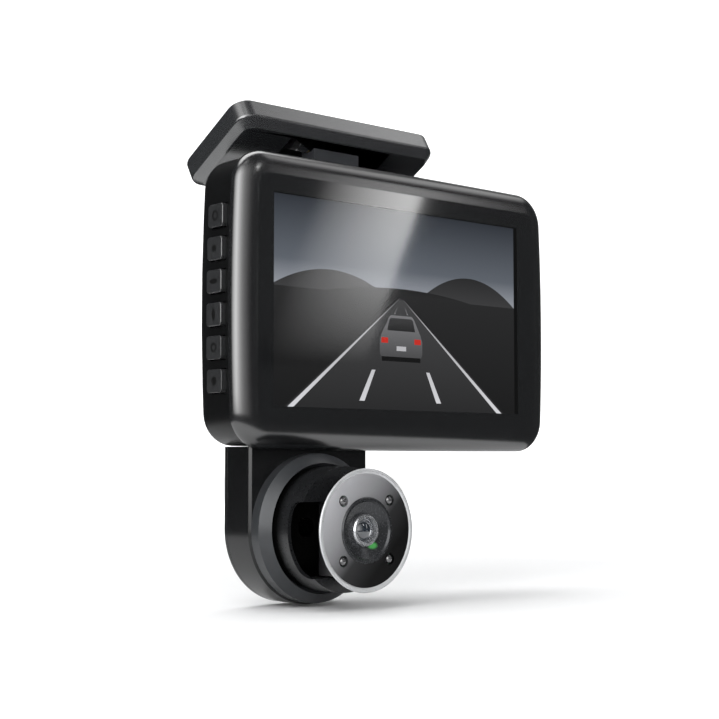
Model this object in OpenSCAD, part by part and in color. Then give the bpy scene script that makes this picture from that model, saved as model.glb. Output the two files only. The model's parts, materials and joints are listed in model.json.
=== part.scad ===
// Windscreen dash camera: a screen unit on a tilting windscreen mount, with a road-facing lens behind
// and a cabin-facing camera head in a round swivel below.
// Frame: origin at the middle of the adhesive pad's outer face, +Z up, +Y towards the road, and +X to the
// right of someone facing the screen. The unit's own coordinates start at the middle of its front glass.

/* [Screen unit] */
// Width of the front
unit_w = 87.2; // [80:0.5:100]
// Height of the front
unit_h = 58.3; // [54:0.5:66]
// Depth from the glass to the back wall
unit_d = 14.7; // [13.5:0.1:18]
// Radius of the four corners
corner_r = 6.8; // [4:0.1:9]
// How far the left and right sides bow outwards
side_bow = 0.9; // [0:0.1:1.5]
// How far the top and bottom bow outwards
top_bow = 0.2; // [0:0.1:1]
// Width of the rolled front edge
roll_w = 4.7; // [3:0.1:6]
// Depth of the rolled front edge
roll_d = 2.9; // [2:0.1:3.1]
// Depth at which the front bezel meets the rear housing
seam_y = 3.2; // [3.1:0.1:4]
// Step in from the bezel to the rear housing
housing_step = 0.7; // [0.3:0.1:1.2]
// Wall thickness of the mouldings
wall = 1.6; // [1.4:0.1:2]

/* [Screen] */
// Width of the picture area
display_w = 68.6; // [60:0.2:70]
// Height of the picture area
display_h = 41.6; // [36:0.2:42]
// Sideways offset of the picture area from the middle
display_x = -0.8; // [-2:0.1:1]
// Thickness of the cover glass
glass_t = 1.1; // [0.8:0.1:1.2]

/* [Buttons] */
// Height pitch of the buttons
button_pitch = 6.4; // [6:0.1:7]
// Depth of one button cap
button_y = 4.8; // [4:0.1:5]
// Height of one button cap
button_z = 4.5; // [4:0.1:5]
// How far a cap stands out of the side
button_out = 1.1; // [0.8:0.1:1.6]
// Travel of a pressed button
button_travel = 0.35; // [0.2:0.05:0.5]

/* [Windscreen mount] */
// Slope of the mount plate, as the windscreen's from the horizontal
plate_tilt = 30; // [28:1:32]
// Length of the plate across the car
plate_l = 53; // [48:0.5:60]
// Depth of the plate along its slope
plate_w = 22.4; // [21:0.2:26]
// Thickness of the plate
plate_t = 5.8; // [5.8:0.1:7]
// Corner radius of the plate
plate_r = 3.5; // [2.5:0.1:5]
// Bevel around the plate's underside
plate_bevel = 1.8; // [1:0.1:2]
// Thickness of the adhesive pad
pad_t = 0.8; // [0.4:0.1:1.2]
// Sideways place of the mount from the middle of the screen unit
mount_x = -11.7; // [-16:0.1:0]

/* [Cabin camera] */
// Radius of the round lower end of the drop module
drop_r = 15; // [15:0.1:16]
// Sideways place of the drop module's middle
drop_x = -22.4; // [-24:0.1:-10]
// Depth of the swivel axis below the middle of the screen
drop_z = -44.4; // [-46:0.1:-44.2]
// Radius of the camera head's face
face_r = 11.75; // [11:0.05:12]
// Distance of the face from the screen's plane
face_reach = 12.9; // [12.9:0.1:14]

/* [Hidden] */
$fn = 64;

half_w = unit_w / 2;
half_h = unit_h / 2;
screw_fn = 24;
hull_fn = 32;
back_r = 2.7;

// Windscreen mount, in the plate's own frame: Y down the slope, Z out through the pad
pin_r = 1.0;
eye_r = 2.4;
pin_above_underside = 2.2;
pin_s = -5.8;
pin_h = -pad_t - plate_t + pin_above_underside;
pocket_l = 26;
pocket_roof = 0.8;
lug_t = 3;
washer_t = 0.4;
tongue_l = 12.2;
tongue_t = 4;
pad_margin = 1.6;

// The hinge axis in the screen unit's coordinates, and the unit's origin in the part's frame
hinge_y = 11;
hinge_z = 34.5;
pin_world = [
    0,
    pin_s * cos(plate_tilt) + pin_h * sin(plate_tilt),
    -pin_s * sin(plate_tilt) + pin_h * cos(plate_tilt)
];
unit_origin = pin_world - [mount_x, hinge_y, hinge_z];

// Rear housing
housing_half_w = half_w - housing_step;
housing_half_h = half_h - housing_step;
housing_top = housing_half_h;
inner_y = unit_d - wall;
running_gap = 0.05;
slip_gap = 0.15;

// Front stack, as depths from the front of the glass
glass_gap = 0.03;
glass_half_w = half_w - roll_w - 0.1;
glass_half_h = half_h - roll_w - 0.1;
glass_corner = 2.6;
lcd_w = display_w + 4;
lcd_h = display_h + 4;
lcd_t = 1.4;
backlight_t = 1.6;
bracket_t = 0.5;
bracket_y = glass_t + lcd_t + backlight_t + 0.1;
board_y = 6.4;
board_t = 1;
board_left = -31;
board_right = 39.5;
board_h = 42;
board_back_y = board_y + board_t;
// Where the main board is screwed to posts on the rear housing
board_posts = [[-28, 18], [-28, -10], [30, 18], [24.3, -8.9]];
post_r = 1.7;

// Buttons
button_mid_y = 7.4;
flange_half_z = button_z / 2 + 0.45;
// Where every button's flange ends inside the left wall, and the switch board beyond its domes
flange_back_x = -housing_half_w + wall + 1.2;
dome_t = 0.75;
button_board_x = flange_back_x + button_travel + 0.05 + dome_t;

// Road-facing camera
road_x = 14;
road_z = 3;
road_r = 11;
road_reach = 8;
sensor_y = 10.2;
sensor_t = 1;
sensor_half = 9;
sensor_post = 7.6;

// Drop module and swivel
drop_front_y = 4.2;
drop_back_y = 13;
drop_wall = 1.4;
drop_top = -housing_half_h - 0.02;
collar_r = 14.65;
collar_front_y = 1.9;
collar_lip_r = 12.75;
collar_lip_y = 0.2;
sleeve_r = 12.1;
sleeve_bore = 11.3;
sleeve_floor = 1.1;
cable_hole_r = 2;
sleeve_front_y = -6.8;
journal_r = 12.0;
flange_r = 13.1;
slot_depth_y = -3.8;
slot_top = 5.4;
slot_bottom = -9.1;
arm_back_y = -1.8;
pivot_y = -4.4;
pivot_r = 1;
hub_r = 3.8;
rim_w = 0.95;
face_t = 1;
drum_back_y = -9.4;

// Outline of the unit at an inset: a rounded rectangle with gently bowed sides
function corner_points(hw, hh, r, sx, sz, start) = [
    for (step = [0:8])
        let (a = start + step * 90 / 8)
        [sx * (hw - r) + r * cos(a), sz * (hh - r) + r * sin(a)]
];
function side_points(from, to) = [for (step = [1:7]) from + (to - from) * step / 8];
function rounded_points(hw, hh, r) =
    let (
        ne = corner_points(hw, hh, r, 1, 1, 0),
        nw = corner_points(hw, hh, r, -1, 1, 90),
        sw = corner_points(hw, hh, r, -1, -1, 180),
        se = corner_points(hw, hh, r, 1, -1, 270)
    )
    concat(
        ne, side_points(ne[8], nw[0]), nw, side_points(nw[8], sw[0]),
        sw, side_points(sw[8], se[0]), se, side_points(se[8], ne[0])
    );
function bowed(points, hw, hh) = [
    for (p = points)
        [p[0] - p[0] * side_bow / hw * pow(p[1] / hh, 2), p[1] - p[1] * top_bow / hh * pow(p[0] / hw, 2)]
];
function unit_outline(inset) =
    let (hw = half_w - inset, hh = half_h - inset, r = max(corner_r - inset, 1))
    bowed(rounded_points(hw, hh, r), hw, hh);
// Sideways place of the left side at height z, for an outline at an inset
function left_face(inset, z) = -(half_w - inset) + side_bow * pow(z / (half_h - inset), 2);

// A layer of the unit's outline from depth y0 to depth y1
module layer(y0, y1, inset) {
    translate([0, y1, 0]) rotate([90, 0, 0]) linear_extrude(y1 - y0) polygon(unit_outline(inset));
}
// A flat plate of outline children() lying across the depth, from y0 to y1
module across(y0, y1) {
    translate([0, y1, 0]) rotate([90, 0, 0]) linear_extrude(y1 - y0) children();
}
// Children turned so that their Z runs along the depth, away from the viewer
module along_depth(x, y, z) {
    translate([x, y, z]) rotate([-90, 0, 0]) children();
}
module rounded_rect(w, h, r) {
    square([w - 2 * r, h], center = true);
    square([w, h - 2 * r], center = true);
    for (sx = [-1, 1], sz = [-1, 1])
        translate([sx * (w / 2 - r), sz * (h / 2 - r)]) circle(r, $fn = hull_fn);
}
module box_between(low, high) {
    translate(low) cube(high - low);
}
// A pan-head screw along +Z, with its head below z = 0
module pan_screw(shank_r, shank_l, head_r, head_t) {
    cylinder(r = shank_r, h = shank_l, $fn = screw_fn);
    translate([0, 0, -head_t]) difference() {
        cylinder(r = head_r, h = head_t, $fn = screw_fn);
        for (turn = [0, 90]) rotate(turn) translate([-head_r * 0.6, -0.15, -0.01])
            cube([head_r * 1.2, 0.3, head_t * 0.5]);
    }
}
module in_unit() {
    translate(unit_origin) children();
}
module in_plate() {
    rotate([-plate_tilt, 0, 0]) children();
}

// ---- Windscreen mount ----

module adhesive_pad() {
    color("dimgray") in_plate() translate([0, 0, -pad_t]) linear_extrude(pad_t)
        rounded_rect(plate_l - 2 * pad_margin, plate_w - 2 * pad_margin, plate_r - 1);
}

module plate_solid() {
    hull() {
        translate([0, 0, -pad_t - plate_t + plate_bevel]) linear_extrude(plate_t - plate_bevel)
            rounded_rect(plate_l, plate_w, plate_r);
        translate([0, 0, -pad_t - plate_t]) linear_extrude(0.1)
            rounded_rect(plate_l - 2 * plate_bevel, plate_w - 2 * plate_bevel, plate_r - 1);
    }
}

// One ear of the clevis that holds the hinge screw, hanging from the pocket's roof
module hinge_lug(x) {
    roof_z = -pad_t - pocket_roof;
    lug_r = 2.1;
    translate([x, pin_s, pin_h]) rotate([0, 90, 0]) cylinder(r = lug_r, h = lug_t, $fn = hull_fn);
    box_between([x, pin_s - lug_r, pin_h], [x + lug_t, pin_s + lug_r, roof_z + 0.01]);
}

module mount_plate() {
    pocket_near = 3;
    pocket_far = 7.2;
    underside = -pad_t - plate_t;
    inner_face = tongue_l / 2 + washer_t;
    color([0.10, 0.11, 0.12]) in_plate() difference() {
        union() {
            difference() {
                plate_solid();
                box_between(
                    [-pocket_l / 2, pin_s - pocket_near, underside - 1],
                    [pocket_l / 2, pin_s + pocket_far, -pad_t - pocket_roof]
                );
            }
            hinge_lug(inner_face);
            hinge_lug(-inner_face - lug_t);
        }
        translate([-pocket_l / 2, pin_s, pin_h]) rotate([0, 90, 0]) cylinder(r = pin_r, h = pocket_l);
    }
}

lug_outer = tongue_l / 2 + washer_t + lug_t;
screw_head_t = 1.4;
nut_t = 1.6;

module hinge_screw() {
    color("silver") in_plate() translate([-lug_outer, pin_s, pin_h]) rotate([0, 90, 0]) {
        cylinder(r = pin_r, h = 2 * lug_outer + nut_t + 0.3);
        translate([0, 0, -screw_head_t]) difference() {
            cylinder(r = 1.9, h = screw_head_t);
            translate([0, 0, -0.01]) cylinder(r = 1, h = 0.8, $fn = 6);
        }
    }
}

module hinge_nut() {
    color("silver") in_plate() translate([lug_outer, pin_s, pin_h]) rotate([0, 90, 0]) difference() {
        cylinder(r = 2.1, h = nut_t, $fn = 6);
        translate([0, 0, -0.5]) cylinder(r = pin_r, h = nut_t + 1);
    }
}

module friction_washers() {
    color("gold") in_plate() for (x = [-tongue_l / 2 - washer_t, tongue_l / 2])
        translate([x, pin_s, pin_h]) rotate([0, 90, 0]) difference() {
            cylinder(r = 2.0, h = washer_t);
            translate([0, 0, -0.5]) cylinder(r = pin_r, h = washer_t + 1);
        }
}

// ---- Screen unit: foot ----

foot_gap = 0.03;
foot_flange_l = 24;
foot_flange_t = 1.6;
foot_flange_y0 = 6.4;
foot_flange_y1 = 12.8;
foot_screw_x = 9;
foot_screw_y = 9.6;
foot_top = housing_top - wall - 0.1;

module hinge_foot() {
    tongue_half = tongue_l / 2 - foot_gap;
    color([0.12, 0.13, 0.14]) in_unit() translate([mount_x, 0, 0]) difference() {
        union() {
            translate([-tongue_half, hinge_y, hinge_z]) rotate([0, 90, 0])
                cylinder(r = eye_r, h = 2 * tongue_half);
            box_between(
                [-tongue_half, hinge_y - tongue_t / 2, foot_top - 0.5],
                [tongue_half, hinge_y + tongue_t / 2, hinge_z]
            );
            box_between(
                [-foot_flange_l / 2, foot_flange_y0, foot_top - foot_flange_t],
                [foot_flange_l / 2, foot_flange_y1, foot_top]
            );
        }
        translate([-tongue_l, hinge_y, hinge_z]) rotate([0, 90, 0])
            cylinder(r = pin_r + running_gap, h = 2 * tongue_l);
        for (sx = [-1, 1]) translate([sx * foot_screw_x, foot_screw_y, foot_top - foot_flange_t - 1])
            cylinder(r = 0.8, h = foot_flange_t + 2, $fn = screw_fn);
    }
}

module foot_screws() {
    color("silver") in_unit() for (sx = [-1, 1])
        translate([mount_x + sx * foot_screw_x, foot_screw_y, foot_top - foot_flange_t])
            pan_screw(0.75, foot_flange_t + 1, 1.4, 0.8);
}

// ---- Screen unit: front ----

boss_x = half_w - 5.5;
boss_z = half_h - 4.95;
boss_r = 1.6;
bezel_back_y = bracket_y;
skirt_back_y = seam_y + 0.9;
skirt_gap = 0.15;

// The four corners at which the housing, the bezel and the bracket are screwed together
module at_corners(dx, dz) {
    for (sx = [-1, 1], sz = [-1, 1]) translate([sx * dx, 0, sz * dz]) children();
}

module bezel_solid() {
    steps = 8;
    hull() {
        for (step = [0:steps])
            let (
                a = step * 90 / steps,
                inset = roll_w * (1 - sin(a)),
                y = roll_d * (1 - cos(a))
            )
            layer(y, y + 0.02, inset);
        layer(seam_y - 0.05, seam_y, 0);
    }
}

module front_bezel() {
    ledge_y = glass_t + 0.9;
    skirt_inset = housing_step + wall + skirt_gap;
    color([0.05, 0.055, 0.06]) in_unit() difference() {
        union() {
            bezel_solid();
            layer(seam_y - 0.2, skirt_back_y, skirt_inset);
            at_corners(boss_x, boss_z) along_depth(0, glass_t + 0.5, 0)
                cylinder(r = boss_r, h = bezel_back_y - glass_t - 0.5, $fn = hull_fn);
        }
        across(-1, glass_t)
            rounded_rect(
                2 * (glass_half_w + glass_gap), 2 * (glass_half_h + glass_gap), glass_corner + glass_gap
            );
        translate([display_x, 0, 0]) across(0, ledge_y + 1) square([lcd_w + 1, lcd_h + 1], center = true);
        difference() {
            layer(ledge_y, bezel_back_y + 1, roll_w - 0.6);
            at_corners(boss_x, boss_z) along_depth(0, 0, 0) cylinder(r = boss_r, h = 8, $fn = hull_fn);
        }
        at_corners(boss_x, boss_z) along_depth(0, ledge_y, 0) cylinder(r = 0.7, h = 8, $fn = screw_fn);
    }
}

module cover_glass() {
    color([0.03, 0.03, 0.035]) in_unit() across(0, glass_t)
        rounded_rect(2 * glass_half_w, 2 * glass_half_h, glass_corner);
}

module lcd_panel() {
    color([0.12, 0.12, 0.14]) in_unit() translate([display_x, 0, 0])
        across(glass_t, glass_t + lcd_t) square([lcd_w, lcd_h], center = true);
}

module backlight_unit() {
    y0 = glass_t + lcd_t;
    color("white") in_unit() translate([display_x, 0, 0])
        across(y0, y0 + backlight_t) square([lcd_w, lcd_h], center = true);
}

module screen_bracket() {
    ear_in = 5;
    ear_out = 1.1;
    ear_shift = (ear_in - ear_out) / 2;
    color("lightsteelblue") in_unit() difference() {
        union() {
            translate([display_x, 0, 0]) across(bracket_y, bracket_y + bracket_t)
                square([lcd_w + 1, lcd_h - 2], center = true);
            for (sx = [-1, 1], sz = [-1, 1])
                translate([sx * (boss_x - ear_shift), 0, sz * (boss_z - ear_shift)])
                    across(bracket_y, bracket_y + bracket_t) square(ear_in + ear_out, center = true);
        }
        at_corners(boss_x, boss_z) along_depth(0, 0, 0) cylinder(r = 0.8, h = 8, $fn = screw_fn);
        across(bracket_y - 1, bracket_y + 2) square([34, 18], center = true);
    }
}

// ---- Screen unit: rear housing ----

vent_count = 7;
vent_pitch = 3;
slot_card_z = -12;
slot_usb_z = 10;
side_slot_y = 9;

module housing_solid() {
    steps = 6;
    hull() {
        layer(seam_y, seam_y + 0.05, housing_step);
        for (step = [0:steps])
            let (
                a = step * 90 / steps,
                inset = housing_step + back_r * (1 - cos(a)),
                y = unit_d - back_r * (1 - sin(a))
            )
            layer(y - 0.02, y, inset);
    }
}

boss_front_y = bracket_y + bracket_t;
screw_seat_y = unit_d - 1.2;

module rear_housing() {
    hole_half_y = button_y / 2 + slip_gap;
    hole_half_z = button_z / 2 + slip_gap;
    color([0.07, 0.075, 0.08]) in_unit() difference() {
        union() {
            difference() {
                housing_solid();
                layer(seam_y - 1, inner_y, housing_step + wall);
            }
            at_corners(boss_x, boss_z) along_depth(0, boss_front_y, 0)
                cylinder(r = boss_r, h = inner_y - boss_front_y + 0.1, $fn = hull_fn);
            for (p = board_posts) along_depth(p[0], board_back_y, p[1])
                cylinder(r = post_r, h = inner_y - board_back_y + 0.1, $fn = hull_fn);
            at_sensor_posts() along_depth(0, sensor_y + sensor_t, 0)
                cylinder(r = 1.15, h = inner_y - sensor_y - sensor_t + 0.1, $fn = hull_fn);
            // lip that holds the button board against the left side
            for (z = [-13, 13]) box_between(
                [button_board_x + 0.85, inner_y - 2, z - 3],
                [button_board_x + 1.85, inner_y + 0.1, z + 3]
            );
        }
        // screw holes in the posts
        for (p = board_posts) along_depth(p[0], board_back_y - 1, p[1])
            cylinder(r = 0.7, h = 5, $fn = screw_fn);
        at_sensor_posts() along_depth(0, sensor_y, 0) cylinder(r = 0.6, h = 2.8, $fn = screw_fn);
        // screw holes and head recesses at the corners
        at_corners(boss_x, boss_z) along_depth(0, 0, 0) cylinder(r = 0.8, h = 20, $fn = screw_fn);
        at_corners(boss_x, boss_z) along_depth(0, screw_seat_y, 0) cylinder(r = 1.6, h = 3, $fn = screw_fn);
        // opening for the hinge foot's tongue, and its screws
        box_between(
            [mount_x - tongue_l / 2 - 0.1, hinge_y - tongue_t / 2 - 0.05, foot_top - 0.1],
            [mount_x + tongue_l / 2 + 0.1, hinge_y + tongue_t / 2 + 0.05, housing_top + 1]
        );
        for (sx = [-1, 1]) translate([mount_x + sx * foot_screw_x, foot_screw_y, foot_top - 1])
            cylinder(r = 0.75, h = 2.2, $fn = screw_fn);
        // button openings in the left side
        for (n = [0:5])
            box_between(
                [-half_w - 1, button_mid_y - hole_half_y, button_height(n) - hole_half_z],
                [flange_back_x, button_mid_y + hole_half_y, button_height(n) + hole_half_z]
            );
        // card slot and power inlet in the right side
        box_between(
            [housing_half_w - 4, side_slot_y - 0.6, slot_card_z - 5.8],
            [half_w + 1, side_slot_y + 0.6, slot_card_z + 5.8]
        );
        box_between(
            [housing_half_w - 4, side_slot_y - 1.75, slot_usb_z - 4.6],
            [half_w + 1, side_slot_y + 1.75, slot_usb_z + 4.6]
        );
        // road camera opening
        along_depth(road_x, inner_y - 1, road_z) cylinder(r = road_r - 1.5 + running_gap, h = 4);
        // sound holes over the speaker
        for (i = [-2:2], j = [-1:1]) along_depth(speaker_x + i * 2.2, inner_y - 1, speaker_z + j * 2.2)
            cylinder(r = 0.5, h = 4, $fn = 16);
        // cooling slots near the top of the back
        for (i = [0:vent_count - 1]) translate([road_x + (i - (vent_count - 1) / 2) * vent_pitch, 0, 20])
            box_between([-0.6, inner_y - 1, -2.4], [0.6, unit_d + 1, 2.4]);
        // ribbon opening and screw holes above the drop module
        box_between(
            [drop_x - 5, ribbon_y0, -half_h - 1],
            [drop_x + 5, ribbon_y1, wall - housing_half_h + 0.6]
        );
        for (sx = [-1, 1]) translate([drop_x + sx * drop_screw_x, drop_screw_y, -housing_half_h - 0.5])
            cylinder(r = 0.75, h = wall + 1.5, $fn = screw_fn);
    }
}

module housing_screws() {
    color("silver") in_unit() at_corners(boss_x, boss_z)
        translate([0, screw_seat_y, 0]) rotate([90, 0, 0]) pan_screw(0.68, 10.6, 1.5, 0.9);
}

// ---- Screen unit: inside ----

module main_board() {
    color("darkgreen") in_unit() difference() {
        box_between([board_left, board_y, -board_h / 2], [board_right, board_back_y, board_h / 2]);
        for (p = board_posts) along_depth(p[0], board_y - 1, p[1])
            cylinder(r = 0.75, h = board_t + 2, $fn = screw_fn);
    }
}

module board_screws() {
    color("silver") in_unit() for (p = board_posts) along_depth(p[0], board_y, p[1])
        pan_screw(0.68, 4.6, 1.4, 0.8);
}

module processor_shield() {
    color("silver") in_unit()
        box_between([-22, board_back_y, -2], [-4, board_back_y + 1.6, 14]);
}

module heat_spreader() {
    y0 = board_back_y + 1.6;
    color("lightgray") in_unit() union() {
        box_between([-24, y0, -3], [-2, y0 + 0.8, 15]);
        for (i = [0:4]) box_between([-23 + i * 4.8, y0 + 0.7, -3], [-22 + i * 4.8, y0 + 2.2, 15]);
    }
}

module battery_cell() {
    color("steelblue") in_unit()
        box_between([-24, board_back_y, -18.5], [2, board_back_y + 4.2, -5]);
}

speaker_x = 15;
speaker_z = -17;

module speaker() {
    color([0.2, 0.2, 0.2]) in_unit()
        box_between([speaker_x - 7.5, 9.3, speaker_z - 4.5], [speaker_x + 7.5, inner_y, speaker_z + 4.5]);
}

module microphone() {
    color("gold") in_unit() along_depth(-28.5, board_back_y, -18)
        cylinder(r = 2, h = 1.4, $fn = hull_fn);
}

function button_height(n) = (2.5 - n) * button_pitch;

module button_board() {
    color("darkgreen") in_unit()
        box_between([button_board_x, 6.2, -19.5], [button_board_x + 0.8, inner_y, 19.5]);
}

module dome_switches() {
    color("silver") in_unit() for (n = [0:5])
        translate([button_board_x, button_mid_y + 1.2, button_height(n)]) rotate([0, -90, 0])
            cylinder(r = 1.1, h = dome_t, $fn = screw_fn);
}

// One button: a cap outside, a stem through the wall, and a flange that keeps it in
module button(n) {
    z = button_height(n);
    outer = left_face(housing_step, z);
    flange_x = left_face(housing_step + wall, abs(z) + flange_half_z) + 0.06;
    color([0.15, 0.16, 0.17]) in_unit() translate([0, button_mid_y, z]) {
        translate([outer - button_out, 0, 0]) rotate([90, 0, 90])
            linear_extrude(flange_x - outer + button_out + 0.05) rounded_rect(button_y, button_z, 0.7);
        translate([flange_x, 0, 0]) rotate([90, 0, 90])
            linear_extrude(flange_back_x - flange_x) rounded_rect(button_y + 1, 2 * flange_half_z, 0.7);
    }
}

module button_1() { button(0); }
module button_2() { button(1); }
module button_3() { button(2); }
module button_4() { button(3); }
module button_5() { button(4); }
module button_6() { button(5); }

module memory_card_socket() {
    x1 = housing_half_w - side_bow - wall - 0.2;
    color("silver") in_unit() difference() {
        box_between([x1 - 14, board_back_y, slot_card_z - 7], [x1, side_slot_y + 0.9, slot_card_z + 7]);
        box_between(
            [x1 - 13, side_slot_y - 0.5, slot_card_z - 5.6],
            [x1 + 1, side_slot_y + 0.5, slot_card_z + 5.6]
        );
    }
}

module memory_card() {
    x1 = housing_half_w - side_bow;
    color([0.1, 0.1, 0.1]) in_unit()
        box_between(
            [x1 - 14.6, side_slot_y - 0.4, slot_card_z - 5.5],
            [x1, side_slot_y + 0.4, slot_card_z + 5.5]
        );
}

module usb_socket() {
    x1 = housing_half_w - 0.5;
    color("silver") in_unit() translate([x1 - 7.4, side_slot_y, slot_usb_z]) rotate([90, 0, 90])
        difference() {
            linear_extrude(7.4) rounded_rect(3.2, 8.9, 1.5);
            translate([0, 0, 1]) linear_extrude(8) rounded_rect(2.6, 8.3, 1.2);
            translate([0, 0, -1]) linear_extrude(1.5) square([0.7, 6.6], center = true);
        }
}

// ---- Road-facing camera ----

module road_lens_shroud() {
    lip_y = unit_d + road_reach;
    color([0.06, 0.06, 0.07]) in_unit() along_depth(road_x, 0, road_z) rotate_extrude() polygon([
        [road_r - 3, inner_y + 0.1], [road_r - 1.5, inner_y + 0.1], [road_r - 1.5, unit_d],
        [road_r, unit_d], [road_r, lip_y - 1], [road_r - 1, lip_y], [road_r - 2, lip_y],
        [7.6, lip_y - 2.4], [7.6, lip_y - 4.5], [road_r - 3, lip_y - 4.5]
    ]);
}

module road_lens_barrel() {
    front_y = unit_d + road_reach - 2.6;
    color([0.08, 0.08, 0.09]) in_unit() along_depth(road_x, 0, road_z) rotate_extrude() polygon([
        [0, sensor_y + sensor_t], [6.2, sensor_y + sensor_t], [6.2, front_y - 3], [7.4, front_y - 3],
        [7.4, front_y], [6.4, front_y], [5.2, front_y - 1.2], [0, front_y - 1.2]
    ]);
}

module road_lens_glass() {
    seat_y = unit_d + road_reach - 3.8;
    dome_r = 7;
    dome_half = 5.1;
    sink = sqrt(dome_r * dome_r - dome_half * dome_half);
    color("lightskyblue") in_unit() along_depth(road_x, seat_y, road_z) intersection() {
        translate([0, 0, -sink]) sphere(dome_r);
        cylinder(r = dome_half, h = 5);
    }
}

// The four corners at which the sensor board is screwed to posts behind the road lens
module at_sensor_posts() {
    for (sx = [-1, 1], sz = [-1, 1])
        translate([road_x + sx * sensor_post, 0, road_z + sz * sensor_post]) children();
}

module road_sensor_board() {
    color("darkgreen") in_unit() difference() {
        box_between(
            [road_x - sensor_half, sensor_y, road_z - sensor_half],
            [road_x + sensor_half, sensor_y + sensor_t, road_z + sensor_half]
        );
        at_sensor_posts() along_depth(0, sensor_y - 1, 0)
            cylinder(r = 0.65, h = sensor_t + 2, $fn = screw_fn);
    }
}

module sensor_screws() {
    color("silver") in_unit() at_sensor_posts() along_depth(0, sensor_y, 0) pan_screw(0.58, 2.6, 1.1, 0.6);
}

// ---- Drop module ----

drop_screw_x = 7.5;
drop_screw_y = 8.2;
cover_screw_x = 11.2;
cover_screw_z = drop_top - 3.2;
ribbon_y0 = 6.9;
ribbon_y1 = 9.7;
drop_chamfer = 0.5;
cover_y = drop_back_y - drop_wall;
flange_y0 = drop_front_y + drop_wall + 0.1;
flange_y1 = flange_y0 + 1;
washer_y1 = flange_y1 + 0.7;
retainer_y1 = washer_y1 + 1;
retainer_r = drop_r - drop_wall - 0.1;

// The U-shaped outline: a straight-sided top and a half-round bottom
module drop_outline(inset, top) {
    r = drop_r - inset;
    translate([drop_x, drop_z]) circle(r, $fn = 96);
    translate([drop_x - r, drop_z]) square([2 * r, top - drop_z]);
}
// Children at the left and right of the drop module's middle
module at_drop_sides(dx) {
    for (sx = [-1, 1]) translate([drop_x + sx * dx, 0, 0]) children();
}

module drop_front_shell() {
    color([0.09, 0.095, 0.10]) in_unit() difference() {
        union() {
            difference() {
                hull() {
                    across(drop_front_y + drop_chamfer, cover_y) drop_outline(0, drop_top);
                    across(drop_front_y, drop_front_y + 0.05) drop_outline(drop_chamfer, drop_top);
                }
                across(drop_front_y + drop_wall, cover_y + 1) drop_outline(drop_wall, drop_top - drop_wall);
            }
            at_drop_sides(cover_screw_x) along_depth(0, drop_front_y + 1, cover_screw_z)
                cylinder(r = 1.7, h = cover_y - drop_front_y - 1, $fn = hull_fn);
            at_drop_sides(drop_screw_x) translate([0, drop_screw_y, drop_top - 3])
                cylinder(r = 1.5, h = 3, $fn = hull_fn);
        }
        along_depth(drop_x, 0, drop_z)
            cylinder(r = journal_r + running_gap, h = drop_front_y + drop_wall + 1);
        at_drop_sides(cover_screw_x) along_depth(0, cover_y - 4, cover_screw_z)
            cylinder(r = 0.7, h = 6, $fn = screw_fn);
        at_drop_sides(drop_screw_x) translate([0, drop_screw_y, drop_top - 4])
            cylinder(r = 0.7, h = 6, $fn = screw_fn);
        box_between([drop_x - 5, ribbon_y0, drop_top - 3], [drop_x + 5, ribbon_y1, drop_top + 1]);
    }
}

module drop_back_cover() {
    rib_outer = retainer_r;
    rib_inner = rib_outer - 1.2;
    color([0.09, 0.095, 0.10]) in_unit() difference() {
        union() {
            hull() {
                across(cover_y, drop_back_y - 0.6) drop_outline(0, drop_top);
                across(drop_back_y - 0.05, drop_back_y) drop_outline(0.6, drop_top);
            }
            along_depth(drop_x, retainer_y1, drop_z) difference() {
                cylinder(r = rib_outer, h = cover_y - retainer_y1 + 0.1);
                translate([0, 0, -1]) cylinder(r = rib_inner, h = cover_y - retainer_y1 + 1);
                // gap in the rib for the ribbon cable; local Y points down
                translate([-5.5, -rib_outer - 1, -1]) cube([11, rib_outer, cover_y - retainer_y1 + 1]);
            }
        }
        at_drop_sides(cover_screw_x) along_depth(0, cover_y - 1, cover_screw_z)
            cylinder(r = 0.75, h = 4, $fn = screw_fn);
        at_drop_sides(cover_screw_x) along_depth(0, drop_back_y - 0.7, cover_screw_z)
            cylinder(r = 1.35, h = 2, $fn = screw_fn);
    }
}

module drop_screws() {
    color("silver") in_unit() at_drop_sides(drop_screw_x)
        translate([0, drop_screw_y, wall - housing_half_h + 0.13]) rotate([180, 0, 0])
            pan_screw(0.68, wall + 2.6, 1.3, 0.8);
}

module cover_screws() {
    color("silver") in_unit() at_drop_sides(cover_screw_x)
        translate([0, drop_back_y - 0.7, cover_screw_z]) rotate([90, 0, 0])
            pan_screw(0.68, 3.6, 1.25, 0.6);
}

// The conical ring around the swivel, fixed to the front of the drop module
module collar_ring() {
    color([0.25, 0.26, 0.28]) in_unit() along_depth(drop_x, 0, drop_z) rotate_extrude($fn = 128) polygon([
        [journal_r + running_gap, drop_front_y], [collar_r, drop_front_y], [collar_r, collar_front_y],
        [collar_lip_r, collar_lip_y], [collar_lip_r - 0.1, 1.2], [journal_r + running_gap, 1.5]
    ]);
}

module wave_washer() {
    color("silver") in_unit() along_depth(drop_x, flange_y1 + 0.05, drop_z) difference() {
        cylinder(r = flange_r, h = washer_y1 - flange_y1 - 0.05);
        translate([0, 0, -1]) cylinder(r = 11.4, h = 4);
    }
}

module retainer_ring() {
    color([0.2, 0.2, 0.22]) in_unit() along_depth(drop_x, washer_y1, drop_z) difference() {
        cylinder(r = retainer_r, h = retainer_y1 - washer_y1);
        translate([0, 0, -1]) cylinder(r = 11, h = 4);
    }
}

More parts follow.
